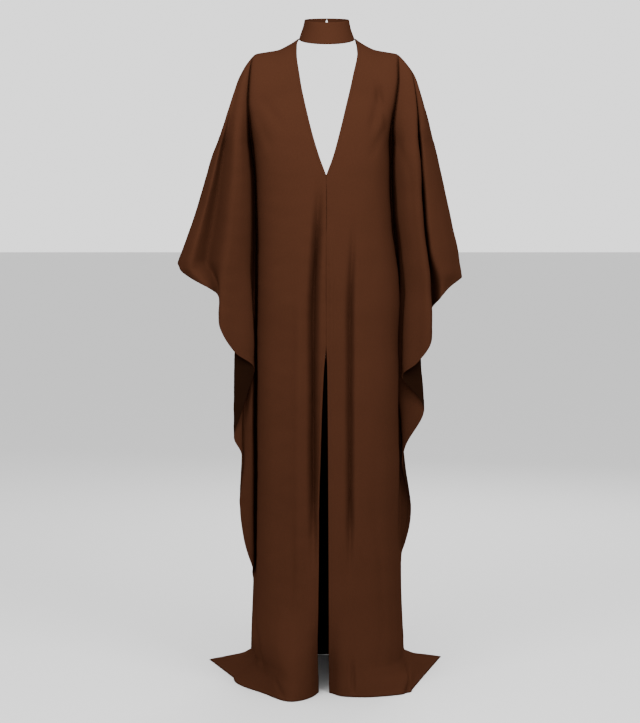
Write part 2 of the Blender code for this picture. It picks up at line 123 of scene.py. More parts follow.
# Grid of a panel: runs over the round of the shoulder, down to the hem band and in it, and
# columns over the body, from its flank to the seam, and over the sleeve to the free edge
ROUND_RUNS = 22
FALL_ROWS = ((0.990, 58), (0.930, 36), (0.840, 28), (0.090, 110), (0.009, 18))
HEM_ROWS = (0.0090, 0.0070, 0.0050, 0.0025, FLOOR)
BODY_RUNS = 84
BODY_SPAN = 0.25
FLANK_RUNS = 23
FLANK_CLOSER = 1.2
SLEEVE_RUNS = 76
SLEEVE_SPAN = 0.42
EDGE_STEPS = (0.0015, 0.0040, 0.0075, 0.0090)
EDGE_CLEAR = 1.3

# Where the inner edges run: half widths of the V and the open back, nothing on the centre
# seams, then half widths of the slit
Edge = namedtuple("Edge", "height front_left front_right back_left back_right")
EDGES = (
    Edge(1.505, NECK_LEFT - NECK_LAP, NECK_RIGHT - NECK_LAP, NECK_LEFT, NECK_RIGHT),
    Edge(1.490, 0.0680, 0.0715, 0.0725, 0.0725),
    Edge(1.470, 0.0682, 0.0722, 0.0745, 0.0745),
    Edge(1.414, 0.0610, 0.0617, 0.0710, 0.0710),
    Edge(1.383, 0.0558, 0.0550, 0.0665, 0.0665),
    Edge(1.336, 0.0455, 0.0438, 0.0580, 0.0580),
    Edge(1.273, 0.0300, 0.0285, 0.0430, 0.0430),
    Edge(1.227, 0.0160, 0.0160, 0.0310, 0.0310),
    Edge(1.186, 0.0011, 0.0011, 0.0206, 0.0206),
    Edge(FRONT_APEX, 0.0, 0.0, 0.0200, 0.0200),
    Edge(BACK_APEX, 0.0, 0.0, 0.0, 0.0),
    Edge(SLIT_TOP, 0.0, 0.0, 0.0, 0.0),
    Edge(0.775, 0.0016, 0.0009, 0.0, 0.0),
    Edge(0.741, 0.0046, 0.0022, 0.0, 0.0),
    Edge(0.672, 0.0076, 0.0030, 0.0, 0.0),
    Edge(0.579, 0.0102, 0.0038, 0.0, 0.0),
    Edge(0.300, 0.0165, 0.0052, 0.0, 0.0),
    Edge(0.090, 0.0195, 0.0062, 0.0, 0.0),
    Edge(FLOOR, 0.0185, 0.0072, 0.0, 0.0),
)

# The line that parts body and sleeve, then the side seam and its tail on the floor
Side = namedtuple("Side", "height left right")
SIDES = (
    Side(1.505, 0.172, 0.168),
    Side(1.450, 0.179, 0.168),
    Side(1.400, 0.182, 0.163),
    Side(1.300, 0.178, 0.154),
    Side(1.183, 0.168, 0.154),
    Side(1.090, 0.165, 0.157),
    Side(1.000, 0.163, 0.167),
    Side(0.890, 0.163, 0.176),
    Side(0.780, 0.165, 0.173),
    Side(0.660, 0.166, 0.175),
    Side(0.500, 0.167, 0.177),
    Side(0.234, 0.172, 0.178),
    Side(0.100, 0.177, 0.183),
    Side(0.064, 0.178, 0.185),
    Side(0.045, 0.190, 0.198),
    Side(0.020, 0.237, 0.240),
    Side(FLOOR, 0.286, 0.285),
)

# How far the tail's ridge runs back for each metre that it runs out
TAIL_SWEEP = {"left": 1.38, "right": 1.76}

# How far the cloth stands from the parting plane at the centre, crease and sleeve, and
# half the width of the crease between body and sleeve
Depth = namedtuple("Depth", "height front back crease gap sleeve")
DEPTHS = (
    Depth(1.505, 0.072, 0.060, 0.048, 0.003, 0.062),
    Depth(1.390, 0.080, 0.088, 0.052, 0.004, 0.074),
    Depth(1.320, 0.100, 0.104, 0.030, 0.006, 0.080),
    Depth(1.260, 0.114, 0.110, 0.0004, 0.007, 0.081),
    Depth(1.183, 0.125, 0.114, 0.0004, 0.007, 0.080),
    Depth(1.070, 0.130, 0.117, 0.0004, 0.005, 0.078),
    Depth(0.890, 0.139, 0.126, 0.0004, 0.004, 0.074),
    Depth(0.569, 0.154, 0.144, 0.0003, 0.006, 0.070),
    Depth(0.260, 0.167, 0.163, 0.0, 0.008, 0.070),
    Depth(0.160, 0.172, 0.170, 0.0, 0.004, 0.070),
    Depth(0.100, 0.175, 0.176, 0.0, 0.002, 0.070),
    Depth(0.040, 0.181, 0.192, 0.0, 0.002, 0.070),
    Depth(FLOOR, 0.188, 0.205, 0.0, 0.002, 0.070),
)

# The body's flank: how far in from the side it lies, and its depth in each panel
Flank = namedtuple(
    "Flank", "height left_in right_in front_left front_right back_left back_right"
)
FLANKS = (
    Flank(1.505, 0.0, 0.0, 0.054, 0.054, 0.054, 0.054),
    Flank(1.390, 0.0, 0.0, 0.058, 0.058, 0.058, 0.058),
    Flank(1.320, 0.0, 0.0, 0.038, 0.038, 0.038, 0.038),
    Flank(1.260, 0.0, 0.0, 0.012, 0.012, 0.012, 0.012),
    Flank(0.234, 0.0, 0.0, 0.012, 0.012, 0.012, 0.012),
    Flank(0.120, 0.0, 0.0, 0.018, 0.022, 0.020, 0.020),
    Flank(0.060, 0.010, 0.008, 0.028, 0.050, 0.060, 0.060),
    Flank(0.030, 0.030, 0.030, 0.026, 0.090, 0.130, 0.140),
    Flank(FLOOR, 0.0665, 0.088, 0.028, 0.143, 0.210, 0.235),
)

# The over-arm line from the shoulder tip to the wrist
Arm = namedtuple("Arm", "height left right")
ARMS = (
    Arm(1.434, 0.1890, 0.1900),
    Arm(1.406, 0.2050, 0.2110),
    Arm(1.377, 0.2150, 0.2210),
    Arm(1.349, 0.2245, 0.2304),
    Arm(1.292, 0.2446, 0.2458),
    Arm(1.236, 0.2647, 0.2600),
    Arm(1.179, 0.2824, 0.2730),
    Arm(1.122, 0.3000, 0.2860),
    Arm(1.065, 0.3190, 0.2985),
    Arm(1.009, 0.3390, 0.3110),
    Arm(0.978, 0.3480, 0.3145),
    Arm(0.945, 0.3500, 0.3190),
    Arm(0.800, 0.3500, 0.3190),
)

# Points that the cloth passes from the body's flank out to the over-arm line. share and
# forward place each on the smooth sleeve, slant and grow are how far share and forward grow
# for each metre above SLANT_FROM. out and depth are where it hangs in the cascade, lean is how
# far out moves for each metre above the hem, the cascade opens from the height opens down to
# full, and hem is where the free edge meets it.
SLANT_FROM = 1.0
Fold = namedtuple("Fold", "share slant forward grow out lean depth opens full hem")
LEFT_FOLDS = {
    "seam": Fold(0.00, 0.0, 0.00, 0.0, 0.163, 0.00, 0.0012, 1.00, 0.90, 0.234),
    "step": Fold(0.012, 0.0, 0.20, 0.0, 0.171, 0.00, 0.050, 1.00, 0.70, 0.262),
    "inner_out": Fold(0.030, 0.0, 0.32, 0.0, 0.202, -0.05, 0.040, 1.00, 0.66, 0.403),
    "inner_in": Fold(0.042, 0.0, 0.45, 0.0, 0.197, 0.00, 0.050, 1.00, 0.70, 0.530),
    "middle_out": Fold(0.060, 0.0, 0.60, 0.0, 0.214, 0.00, 0.056, 1.02, 0.74, 0.582),
    "middle_in": Fold(0.090, 0.0, 0.76, 0.0, 0.167, 0.00, 0.064, 1.02, 0.80, 0.732),
    "ridge": Fold(0.27, 0.0, 1.00, 0.0, 0.212, 0.00, 0.074, 1.02, 0.84, 0.774),
    "outer_out": Fold(0.42, 0.20, 0.98, 0.0, 0.246, 0.00, 0.078, 1.04, 0.88, 0.832),
    "outer_in": Fold(0.63, 0.30, 0.26, 0.9, 0.251, 0.00, 0.040, 0.99, 0.92, 0.902),
    "cuff": Fold(0.82, 0.1, 0.62, 0.0, 0.281, 0.00, 0.046, 0.97, 0.92, 0.927),
    "rim": Fold(0.94, 0.0, 0.32, 0.0, 0.318, 0.00, 0.028, 0.97, 0.93, 0.955),
    "arm": Fold(1.00, 0.0, 0.00, 0.0, 0.350, 0.00, 0.001, 0.90, 0.80, 0.978),
}
RIGHT_FOLDS = {
    "seam": Fold(0.00, 0.0, 0.00, 0.0, 0.176, 0.00, 0.0012, 1.00, 0.90, 0.276),
    "inner_out": Fold(0.030, 0.0, 0.30, 0.0, 0.199, -0.12, 0.013, 1.00, 0.66, 0.409),
    "inner_in": Fold(0.042, 0.0, 0.45, 0.0, 0.184, 0.00, 0.026, 1.00, 0.70, 0.540),
    "middle_out": Fold(0.060, 0.0, 0.60, 0.0, 0.229, -0.05, 0.039, 1.02, 0.74, 0.639),
    "middle_in": Fold(0.090, 0.0, 0.76, 0.0, 0.178, 0.00, 0.052, 1.02, 0.80, 0.714),
    "ridge": Fold(0.28, 0.1, 1.00, 0.0, 0.212, 0.00, 0.070, 1.02, 0.84, 0.749),
    "outer_out": Fold(0.435, 0.475, 0.99, 0.0, 0.244, 0.00, 0.074, 1.04, 0.86, 0.798),
    "outer_in": Fold(0.476, 0.475, 0.32, 0.0, 0.247, 0.00, 0.008, 1.04, 0.90, 0.868),
    "cuff": Fold(0.535, 0.475, 0.86, 0.0, 0.267, 0.00, 0.052, 1.02, 0.92, 0.900),
    "rim": Fold(0.80, 0.25, 0.56, 0.0, 0.290, 0.00, 0.030, 0.96, 0.92, 0.924),
    "arm": Fold(1.00, 0.0, 0.00, 0.0, 0.319, 0.00, 0.001, 0.90, 0.80, 0.945),
}

# Long folds of the body: place across, size, and how far the inner lip slides over it. Each
# runs slanting from top down to bend and then straight, and fades at both ends and towards
# the centre seam
FOLDS_FROM = 0.010
LIP_PLACE = 1.1
Crease = namedtuple(
    "Crease", "panel out_top out_low bend width depth slide top full_top full_low low"
)
CREASES = (
    Crease("front_left", 0.0165, 0.0295, 0.85, 0.0090, 0.029, 0.0050, 1.195, 0.970, 0.500, 0.260),
    Crease("front_left", 0.1000, 0.1080, 0.70, 0.0300, 0.006, 0.0, 0.900, 0.700, 0.350, 0.120),
    Crease("front_left", 0.0600, 0.0640, 0.60, 0.0120, -0.005, 0.0, 1.060, 0.800, 0.350, 0.100),
    Crease("front_right", 0.0620, 0.0540, 0.85, 0.0074, 0.019, 0.0042, 1.110, 0.860, 0.450, 0.230),
    Crease("front_right", 0.0090, 0.0120, 0.85, 0.0060, -0.0025, 0.0, 1.080, 1.000, 0.820, 0.700),
    Crease("front_right", 0.126, 0.104, 1.27, 0.011, 0.006, 0.0, 1.430, 1.390, 1.330, 1.270),
    Crease("back_left", 0.052, 0.062, 0.80, 0.0090, 0.015, 0.0030, 1.080, 0.950, 0.500, 0.200),
    Crease("back_left", 0.118, 0.112, 0.60, 0.022, 0.007, 0.0, 1.000, 0.800, 0.300, 0.120),
    Crease("back_right", 0.034, 0.044, 0.80, 0.0075, 0.018, 0.0040, 1.060, 0.900, 0.450, 0.160),
    Crease("back_right", 0.120, 0.106, 0.60, 0.026, 0.007, 0.0, 0.850, 0.650, 0.300, 0.100),
)

# How square the body's section is, from an ellipse at 2 up: above the foot, then on the floor
Section = namedtuple("Section", "above floor")
SECTIONS = {
    "front_left": Section(3.2, 2.0),
    "front_right": Section(2.8, 2.8),
    "back_left": Section(2.6, 2.3),
    "back_right": Section(2.7, 2.3),
}
FOOT_TOP = 0.11
SECTION_ASPECT = 0.75
SECTION_STEPS = 400

# Near the floor the fronts swell forwards, and their corners at the slit lie back
Swell = namedtuple("Swell", "place width rise corner")
SWELLS = {
    "front_left": Swell(0.085, 0.050, 0.060, 0.075),
    "front_right": Swell(0.095, 0.070, 0.013, 0.034),
}
SWELL_TOP = 0.30
CORNER_WIDTH = 0.024

# How far the shoulder falls across its width, from the neck point to its tip
SHOULDER_FALL = (
    (0.0, 0.0), (0.20, 0.215), (0.40, 0.375), (0.62, 0.445), (0.79, 0.495), (0.93, 0.74),
    (1.0, 1.0),
)

# The cloth's own unevenness, as height and size of each: its slow billows, its ripples and the
# pucker along a sewn seam, which lies a little in from it and runs short along the cloth.
# Each is a sum of waves, and a seam is found from every fourth row.
BILLOW, BILLOW_SIZE = 0.0010, 0.16
RIPPLE, RIPPLE_SIZE = 0.0003, 0.045
PUCKER, PUCKER_SIZE = 0.0003, 0.016
PUCKER_IN = 0.006
PUCKER_ALONG = 0.3
WAVES = 7
WAVE_LENGTHS = (0.7, 1.6)
SEAM_SPOTS = 4

# Distances over which it fades in: below the shoulder seam, off the line that parts body and
# sleeve, and off the neck point
SEAM_CALM = (0.02, 0.30)
PARTING_CALM = (0.001, 0.012)
NECK_CALM = (0.004, 0.030)


def smooth_read(places, values, at):
    """Reads values at any place, on a smooth curve through them that never overshoots."""
    places = np.asarray(places, float)
    values = np.asarray(values, float)
    if places[0] > places[-1]:
        places, values = places[::-1], values[::-1]
    steps = np.diff(places)
    rises = np.diff(values) / steps
    slopes = np.zeros_like(values)
    slopes[0], slopes[-1] = rises[0], rises[-1]
    product = rises[:-1] * rises[1:]
    total = rises[:-1] + rises[1:]
    slopes[1:-1] = np.where(product > 0, 2 * product / np.where(total == 0, 1, total), 0)
    i = np.clip(np.searchsorted(places, at) - 1, 0, len(places) - 2)
    t = np.clip((at - places[i]) / steps[i], 0, 1)
    start, end = values[i], values[i + 1]
    lean_start, lean_end = slopes[i] * steps[i], slopes[i + 1] * steps[i]
    return (
        start * (1 + 2 * t) * (1 - t) ** 2
        + end * (3 - 2 * t) * t**2
        + lean_start * t * (1 - t) ** 2
        - lean_end * (1 - t) * t**2
    )


def column(rows, name, height):
    """One named column of a table at any height."""
    return smooth_read([r.height for r in rows], [getattr(r, name) for r in rows], height)


def ramp(value, start, end):
    """Goes softly from 0 at start to 1 at end."""
    t = np.clip((value - start) / (end - start), 0, 1)
    return t * t * (3 - 2 * t)


def through(points, places):
    """Points on a curve through the knots of each row, at places counted in knots."""
    last = points.shape[1] - 1
    leans = np.empty_like(points)
    leans[:, 1:-1] = (points[:, 2:] - points[:, :-2]) / 2
    leans[:, 0] = points[:, 1] - points[:, 0]
    leans[:, -1] = points[:, -1] - points[:, -2]
    i = np.clip(places.astype(int), 0, last - 1)
    t = (places - i)[..., None]
    row = np.arange(points.shape[0])[:, None]
    start, end = points[row, i], points[row, i + 1]
    return (
        start * (1 + 2 * t) * (1 - t) ** 2
        + end * (3 - 2 * t) * t**2
        + leans[row, i] * t * (1 - t) ** 2
        - leans[row, i + 1] * (1 - t) * t**2
    )


def shoulder_round(height):
    """How far the cloth has come over the round of the shoulder, 0 on the seam."""
    up = np.clip((height - SHOULDER_DEEP) / (NECK_HEIGHT - SHOULDER_DEEP), 0, 1)
    return np.sqrt(1 - up**2)


def parting(out, height, side):
    """Depth of the surface on which front and back meet, bent back along the tail."""
    ridge = column(SIDES, side, TAIL_TOP)
    return np.where(height < TAIL_TOP, np.maximum(out - ridge, 0) * TAIL_SWEEP[side], 0.0)


def crease_places(panel, out, height):
    """For each long fold of a panel: the fold, how full it is, and the way from its middle."""
    for c in CREASES:
        if c.panel == panel:
            middle = c.out_low + (c.out_top - c.out_low) * ramp(height, c.bend, c.top)
            fade = ramp(height, c.top, c.full_top) * ramp(height, c.low, c.full_low)
            yield c, fade, (out - middle) / c.width


def creased(panel, out, height):
    """How far the body's long folds draw the cloth in."""
    total = np.zeros(np.broadcast(out, height).shape)
    for c, fade, way in crease_places(panel, out, height):
        total += c.depth * fade * np.exp(-(way**2))
    return total * ramp(out, 0, FOLDS_FROM)


def slid(panel, out, height):
    """How far the lip on the inner side of each fold slides out over it."""
    total = np.zeros(np.broadcast(out, height).shape)
    for c, fade, way in crease_places(panel, out, height):
        total += c.slide * fade * np.exp(-((way + LIP_PLACE) ** 2))
    return total * ramp(out, 0, FOLDS_FROM)


def hem_swell(panel, out, height):
    """How far a front's hem swells forwards, less where its corner lies back."""
    if panel not in SWELLS:
        return 0.0
    swell = SWELLS[panel]
    low = 1 - ramp(height, FLOOR, SWELL_TOP)
    rise = swell.rise * np.exp(-(((out - swell.place) / swell.width) ** 2))
    corner = swell.corner * np.exp(-((out / CORNER_WIDTH) ** 2))
    return low**2 * (rise - corner)


def section_arc(squareness, shares):
    """Shares of the width and depth at even runs along the body's rounded section."""
    turn = np.linspace(0, np.pi / 2, SECTION_STEPS)
    power = 2 / squareness
    out = np.sin(turn) ** power
    forward = np.maximum(np.cos(turn), 0) ** power
    steps = np.hypot(np.diff(out), np.diff(forward) * SECTION_ASPECT)
    run = np.concatenate([[0], np.cumsum(steps)])
    at = np.asarray(shares) * run[-1]
    return np.interp(at, run, out), np.interp(at, run, forward)


def body_points(panel, heights, shares):
    """Distance out and depth of the body, from its inner edge (share 0) to its flank (1)."""
    face, side = panel.split("_")
    edge = column(EDGES, panel, heights)
    inward = column(DEPTHS, "gap", heights) + column(FLANKS, side + "_in", heights)
    flank = column(SIDES, side, heights) - inward
    over = shoulder_round(heights)
    flank_depth = column(FLANKS, panel, heights) * over
    full = column(DEPTHS, face, heights) * over
    above = section_arc(SECTIONS[panel].above, shares)
    floor = section_arc(SECTIONS[panel].floor, shares)
    low = 1 - ramp(heights, FLOOR, FOOT_TOP)
    across, forward = [a + (f - a) * low for a, f in zip(above, floor)]
    out = edge + (flank - edge) * across
    out = out + slid(panel, out, heights)
    depth = flank_depth + (full - flank_depth) * forward
    relief = hem_swell(panel, out, heights) - creased(panel, out, heights)
    return out, depth + relief * forward**0.5


def fold_points(panel, heights):
    """Knots of the cloth from the flank to the over-arm line, for each row."""
    face, side = panel.split("_")
    folds = LEFT_FOLDS if side == "left" else RIGHT_FOLDS
    seam = column(SIDES, side, heights)
    over = shoulder_round(heights)
    sleeve = column(DEPTHS, "sleeve", heights) * over
    crease = column(DEPTHS, "crease", heights) * over
    drop = SHOULDER_DROP * ramp(heights, SHOULDER_LEVEL, NECK_HEIGHT)
    arm = column(ARMS, side, heights - drop)
    flank_out, flank_depth = body_points(panel, heights, np.ones(1))
    knots = [np.concatenate([flank_out, flank_depth], axis=1)]
    seam_depth = parting_depth(face, seam, heights, side) + crease
    for name, fold in folds.items():
        open_by = ramp(heights, fold.opens, fold.full)
        out = seam + (arm - seam) * (fold.share + fold.slant * (heights - SLANT_FROM))
        hang = fold.out + fold.lean * (heights - fold.hem)
        forward = np.clip(fold.forward + fold.grow * (heights - SLANT_FROM), 0, 1)
        depth = crease + (sleeve - crease) * forward
        if name == "arm":
            depth = np.zeros_like(depth)
        if name == "seam":
            depth, open_by = seam_depth, np.zeros_like(open_by)
        out = out + (hang - out) * open_by
        depth = depth + (fold.depth - depth) * open_by
        knots.append(np.concatenate([out, depth], axis=1))
    knots = np.stack(knots, axis=1)
    foot = folds["seam"].hem
    below = ramp(heights, foot + FOOT_BLEND, foot)[..., None]
    straight_on = 2 * knots[:, 1:2] - knots[:, 0:1]
    knots[:, 2:] += (straight_on - knots[:, 2:]) * below
    return knots


def parting_depth(face, out, height, side):
    """The parting surface's depth, counted outwards from the panel's own side."""
    back = parting(out, height, side)
    return -back if face == "front" else back


def free_edge(panel, heights):
    """How many knots the cloth reaches at each height before its free edge."""
    folds = LEFT_FOLDS if panel.endswith("left") else RIGHT_FOLDS
    hems = [f.hem for f in folds.values()]
    reach = np.arange(1, len(hems) + 1)
    return smooth_read(hems, reach, heights)


# Grain of the crepe: the twisted yarn, its pebbles and the slow change of shade. Yarn and
# pebbles are drawn coarser than they are, so that they show in a picture of the whole. A yarn
# stretches down the cloth, and the relief is how deep light sees the grain.
YARN_GRAIN = 0.0016
YARN_STRETCH = 0.4
PEBBLE_GRAIN = 0.0042
SHADE_GRAIN = 0.14
GRAIN_SHARE = 0.35
SHADE_SHARE = 0.5
GRAIN_RELIEF = 0.0004
GRAIN_STRENGTH = 0.45

# Roughness and shine: dry crepe, smoother thread, worn wire and the matte floor
CREPE_ROUGH = 0.9
THREAD_ROUGH, THREAD_SHINE = 0.75, 0.05
TWIST_GRAIN = 0.0006
WEAR_GRAIN = 0.0012
STEEL_ROUGH = (0.28, 0.5)
FLOOR_ROUGH = 0.9

# Soft creases pressed into the cloth, each through points of height and distance out
# from the centre. The cloth rises beside each, by a share of its depth and some widths out,
# and each fades towards its ends.
RIM_SHARE = 0.3
RIM_WIDTHS = 2.2
END_FADE = 0.7
LINE_STEPS = 8
Press = namedtuple("Press", "panel line width depth")
PRESSES = (
    Press(
        "front_left", ((0.190, 0.166), (0.120, 0.162), (0.080, 0.156), (0.050, 0.149)),
        0.015, 0.014,
    ),
    Press("front_left", ((0.040, 0.118), (0.018, 0.104), (0.004, 0.098)), 0.009, 0.004),
    Press(
        "front_right", ((0.125, 0.178), (0.060, 0.1815), (0.0, 0.1850), (-0.06, 0.186)),
        0.0095, 0.011,
    ),
    Press("front_left", ((1.400, 0.155), (1.340, 0.120), (1.290, 0.095)), 0.010, 0.0022),
    Press("front_left", ((1.360, 0.165), (1.290, 0.140), (1.230, 0.120)), 0.012, 0.0020),
    Press("front_right", ((1.430, 0.110), (1.370, 0.128), (1.300, 0.140)), 0.009, 0.0036),
    Press("front_right", ((1.330, 0.145), (1.270, 0.120), (1.220, 0.098)), 0.012, 0.0022),
    Press("front_right", ((0.080, 0.0600), (0.040, 0.0605), (0.006, 0.0615)), 0.005, 0.007),
    Press("front_left", ((0.450, 0.070), (0.250, 0.078), (0.060, 0.090)), 0.012, 0.0024),
    Press("front_right", ((0.550, 0.115), (0.330, 0.122), (0.080, 0.130)), 0.014, 0.0024),
    Press("front_right", ((0.400, 0.040), (0.220, 0.045), (0.050, 0.048)), 0.010, 0.0018),
    Press("front_right", ((1.330, 0.185), (1.200, 0.190), (1.050, 0.196)), 0.010, 0.0016),
    Press("back_left", ((1.430, 0.085), (1.360, 0.070), (1.270, 0.050)), 0.010, 0.0026),
    Press("back_left", ((1.380, 0.150), (1.300, 0.125), (1.200, 0.110)), 0.012, 0.0024),
    Press("back_left", ((1.300, 0.225), (1.180, 0.245), (1.060, 0.270)), 0.012, 0.0022),
    Press("back_left", ((0.600, 0.090), (0.400, 0.100), (0.180, 0.120)), 0.014, 0.0032),
    Press("back_right", ((1.400, 0.120), (1.330, 0.100), (1.220, 0.090)), 0.011, 0.0026),
    Press("back_right", ((1.280, 0.210), (1.160, 0.225), (1.020, 0.240)), 0.012, 0.0022),
    Press("back_right", ((0.720, 0.080), (0.500, 0.095), (0.220, 0.100)), 0.014, 0.0034),
    Press("back_left", ((0.130, 0.172), (0.070, 0.165), (0.020, 0.150)), 0.010, 0.012),
    Press("back_right", ((0.120, 0.180), (0.060, 0.172), (0.015, 0.160)), 0.009, 0.012),
)


def grid_heights():
    """Heights of the rows from the shoulder seam to the hem, close where cloth is turned."""
    rise = NECK_HEIGHT - SHOULDER_DEEP
    turns = np.linspace(0, np.pi / 2, ROUND_RUNS + 1)
    over = SHOULDER_DEEP + rise * np.cos(turns)
    rows = [over]
    last = SHOULDER_DEEP
    for low, count in FALL_ROWS:
        rows.append(np.linspace(last, low, count + 1)[1:])
        last = low
    rows[-1] = rows[-1][:-1]
    return np.concatenate([*rows, HEM_ROWS])


def edge_shares(count, span, start, end):
    """Even shares from 0 to 1, with closer ones at an end where cloth is turned or sewn."""
    even = np.linspace(0, 1, count + 1)
    near = np.array(EDGE_STEPS) / span
    keep = np.ones(len(even), bool)
    extra = []
    if start:
        keep &= (even == 0) | (even > near[-1] * EDGE_CLEAR)
        extra.append(near)
    if end:
        keep &= (even == 1) | (even < 1 - near[-1] * EDGE_CLEAR)
        extra.append(1 - near)
    return np.sort(np.concatenate([even[keep], *extra]))


def row_runs(points):
    """Distance along each row of a grid, from its first point."""
    steps = np.linalg.norm(np.diff(points, axis=1), axis=2)
    return np.concatenate([np.zeros((len(points), 1)), np.cumsum(steps, axis=1)], axis=1)


def grid_normals(points, outward):
    """Unit normals of a grid of points, on the side that faces out of the garment."""
    across = np.gradient(points, axis=1)
    down = np.gradient(points, axis=0)
    normals = np.cross(across, down) * outward
    length = np.linalg.norm(normals, axis=2, keepdims=True)
    return normals / np.maximum(length, 1e-9)


def near_line(across, down, line):
    """Distance from each point of the flat cloth to a line on it, and the place along it."""
    best = np.full(across.shape, 9.0)
    along = np.zeros(across.shape)
    steps = np.linalg.norm(np.diff(line, axis=0), axis=1)
    total = steps.sum()
    run = 0.0
    for start, end, step in zip(line[:-1], line[1:], steps):
        way = (end - start) / step
        reach = (across - start[0]) * way[0] + (down - start[1]) * way[1]
        reach = np.clip(reach, 0, step)
        gap = np.hypot(across - start[0] - way[0] * reach, down - start[1] - way[1] * reach)
        closer = gap < best
        best = np.where(closer, gap, best)
        along = np.where(closer, (run + reach) / total, along)
        run += step
    return best, along


class Panel:
    """One panel's surface: its grid of points, its flat coordinates and its edges."""

    def __init__(self, name):
        self.name = name
        self.face, self.side = name.split("_")
        self.outward = -1 if name in ("front_right", "back_left") else 1
        folds = LEFT_FOLDS if self.side == "left" else RIGHT_FOLDS
        self.heights = grid_heights()
        body = edge_shares(BODY_RUNS, BODY_SPAN, True, False)
        flank = np.linspace(0, 1, FLANK_RUNS + 1) ** FLANK_CLOSER
        sleeve = edge_shares(SLEEVE_RUNS, SLEEVE_SPAN, False, True)
        reach = free_edge(name, self.heights[:, None])
        ones = np.ones((len(self.heights), 1))
        places = np.concatenate([ones * flank[None, 1:], 1 + (reach - 1) * sleeve[None, 1:]], 1)
        self.reach = reach[:, 0]
        self.first_sleeve = len(body) + FLANK_RUNS
        self.points = self.surface(body, places)
        self.fold_count = len(folds)
        self.across = row_runs(self.points) + column(EDGES, name, self.heights)[:, None]
        drop = np.diff(self.points[:, : len(body)], axis=0)
        steps = np.linalg.norm(drop, axis=2).mean(axis=1)
        self.down = np.concatenate([[0], np.cumsum(steps)])[:, None] * np.ones_like(self.across)

    def surface(self, body, places):
        """The panel's middle surface, with its own places for each row."""
        face, side = self.face, self.side
        heights = self.heights[:, None]
        out, depth = body_points(self.name, heights, body)
        folded = through(fold_points(self.name, heights), places)
        out = np.concatenate([out, folded[..., 0]], axis=1)
        depth = np.concatenate([depth, folded[..., 1]], axis=1)
        edge = out[:, :1]
        drop = SHOULDER_DROP * ramp(heights, SHOULDER_LEVEL, NECK_HEIGHT)
        arm = column(ARMS, side, heights - drop)
        across = np.clip((out - edge) / (arm - edge), 0, 1)
        rounding = ramp(heights, SHOULDER_DEEP, NECK_HEIGHT)
        shoulder = smooth_read(*zip(*SHOULDER_FALL), across)
        fall = (1 - rounding) * across**SHOULDER_BOW + rounding * shoulder
        x = out * (-1 if side == "left" else 1)
        y = depth * (-1 if face == "front" else 1)
        z = heights - drop * fall - NECK_HEIGHT
        return np.stack([x, y, z], axis=-1)

    def flat_spot(self, height, out):
        """Where a height and a distance out from the centre lie on the flat cloth."""
        row = np.interp(-height, -self.heights, np.arange(len(self.heights)))
        lower = int(row)
        upper = min(lower + 1, len(self.heights) - 1)
        part = row - lower
        reach = np.maximum.accumulate(np.abs(self.points[[lower, upper], :, 0]), axis=1)
        first = np.interp(out, reach[0], self.across[lower])
        second = np.interp(out, reach[1], self.across[upper])
        down = self.down[lower, 0] * (1 - part) + self.down[upper, 0] * part - min(height, 0)
        return first * (1 - part) + second * part, down

    def sewn_gap(self):
        """Distance of each point from the nearest edge that is sewn to a neighbour."""
        gap = self.down.copy()
        closed = self.heights <= (FRONT_APEX if self.face == "front" else BACK_APEX)
        if self.face == "front":
            closed &= self.heights >= SLIT_TOP
        inner = self.across - self.across[:, :1]
        gap = np.where(closed[:, None], np.minimum(gap, inner), gap)
        rows = np.nonzero(self.reach >= self.fold_count - 1e-6)[0]
        line = np.stack([self.across[rows, -1], self.down[rows, -1]], axis=1)
        outer, _ = near_line(self.across, self.down, line[::SEAM_SPOTS])
        return np.minimum(gap, outer)

    def free_gap(self):
        """Distance of each point from the nearest edge that is turned and hemmed."""
        bottom = self.down[-1:, :] - self.down
        if self.face == "front":
            loose = (self.heights > FRONT_APEX) | (self.heights < SLIT_TOP)
        else:
            loose = self.heights > BACK_APEX
        inner = self.across - self.across[:, :1]
        gap = np.where(loose[:, None], np.minimum(bottom, inner), bottom)
        hanging = self.reach < self.fold_count - 1e-6
        rows = np.nonzero(hanging & (self.reach > 1.0005))[0]
        line = np.stack([self.across[rows, -1], self.down[rows, -1]], axis=1)
        outer, _ = near_line(self.across, self.down, line)
        return np.minimum(gap, outer)


def wander(across, down, seed, size):
    """A smooth uneven height, about -1 to 1, made of a few crossing waves of one size."""
    rng = np.random.default_rng(seed)
    total = np.zeros_like(across)
    for _ in range(WAVES):
        turn = rng.uniform(0, np.pi)
        length = size * rng.uniform(*WAVE_LENGTHS)
        phase = rng.uniform(0, 2 * np.pi)
        wave = across * np.cos(turn) + down * np.sin(turn)
        total += np.sin(2 * np.pi * wave / length + phase)
    return total / (WAVES / 2)


